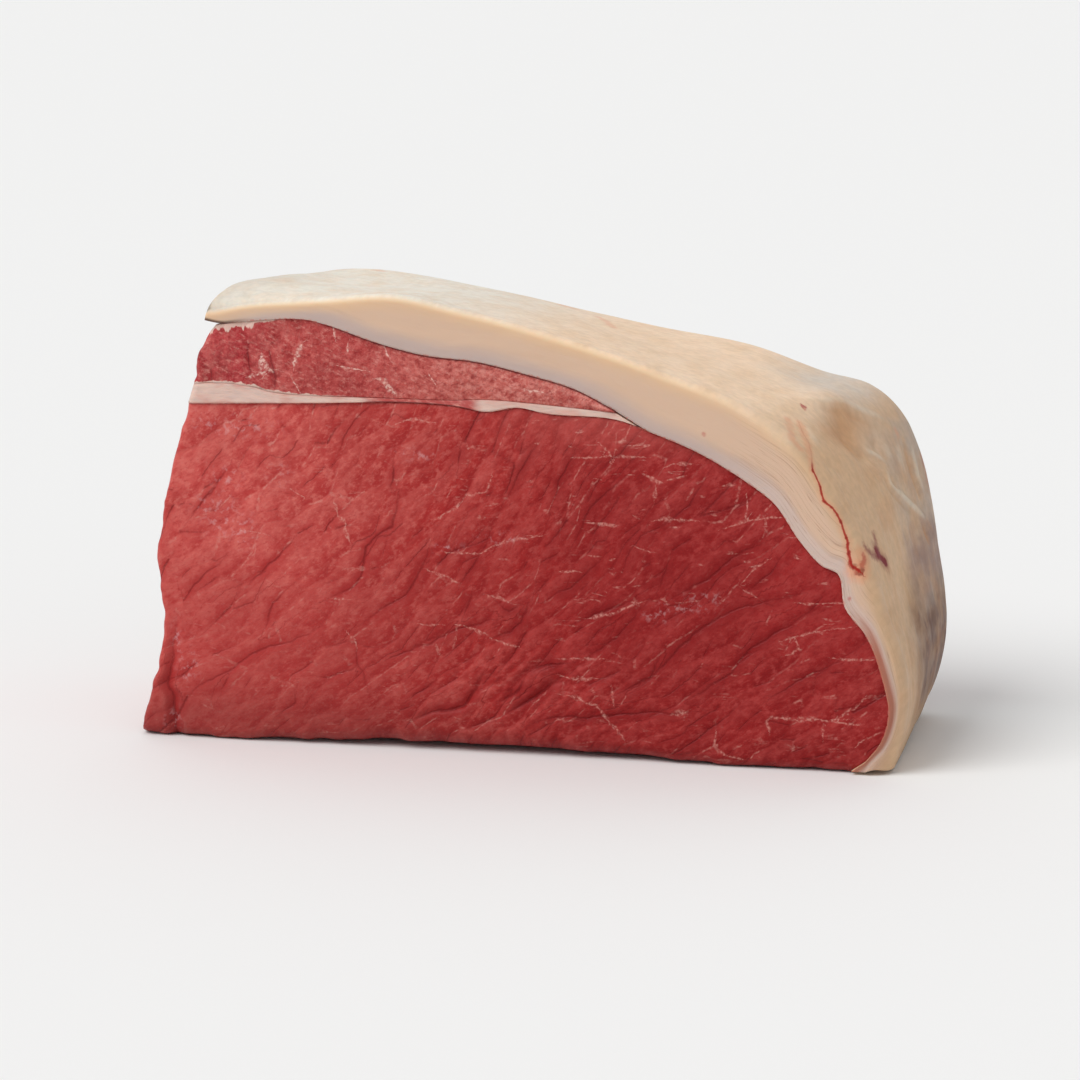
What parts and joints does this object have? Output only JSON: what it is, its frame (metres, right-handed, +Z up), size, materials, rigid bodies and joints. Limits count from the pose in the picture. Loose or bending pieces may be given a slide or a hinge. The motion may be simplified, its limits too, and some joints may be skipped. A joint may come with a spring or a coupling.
{
  "type": "raw beef joint",
  "caption": "Raw beef topside joint with its cap muscle: a wide wedge of lean cut square across the grain, with a thick cover of fat over the top and down one side.",
  "frame": {"origin": "on the table, under the middle of the joint's bounding box", "axes": "+X along the cut face towards the side that the fat covers, +Y away from the shown cut face, +Z up"},
  "size_m": [0.234, 0.0958, 0.1359],
  "materials": {
    "lean": "moist raw lean meat, domed bundles with dark creases and pale marbling",
    "cap_lean": "moist raw lean meat, paler and finer in grain",
    "seam": "soft seam of pale fat",
    "fat": "waxy cream fat, whiter on top and greyer down the side"
  },
  "bodies": {
    "root": {"eye_muscle": "lean", "cap_muscle": "cap_lean", "seam_fat": "seam", "fat_cover": "fat"}
  },
  "joints": []
}
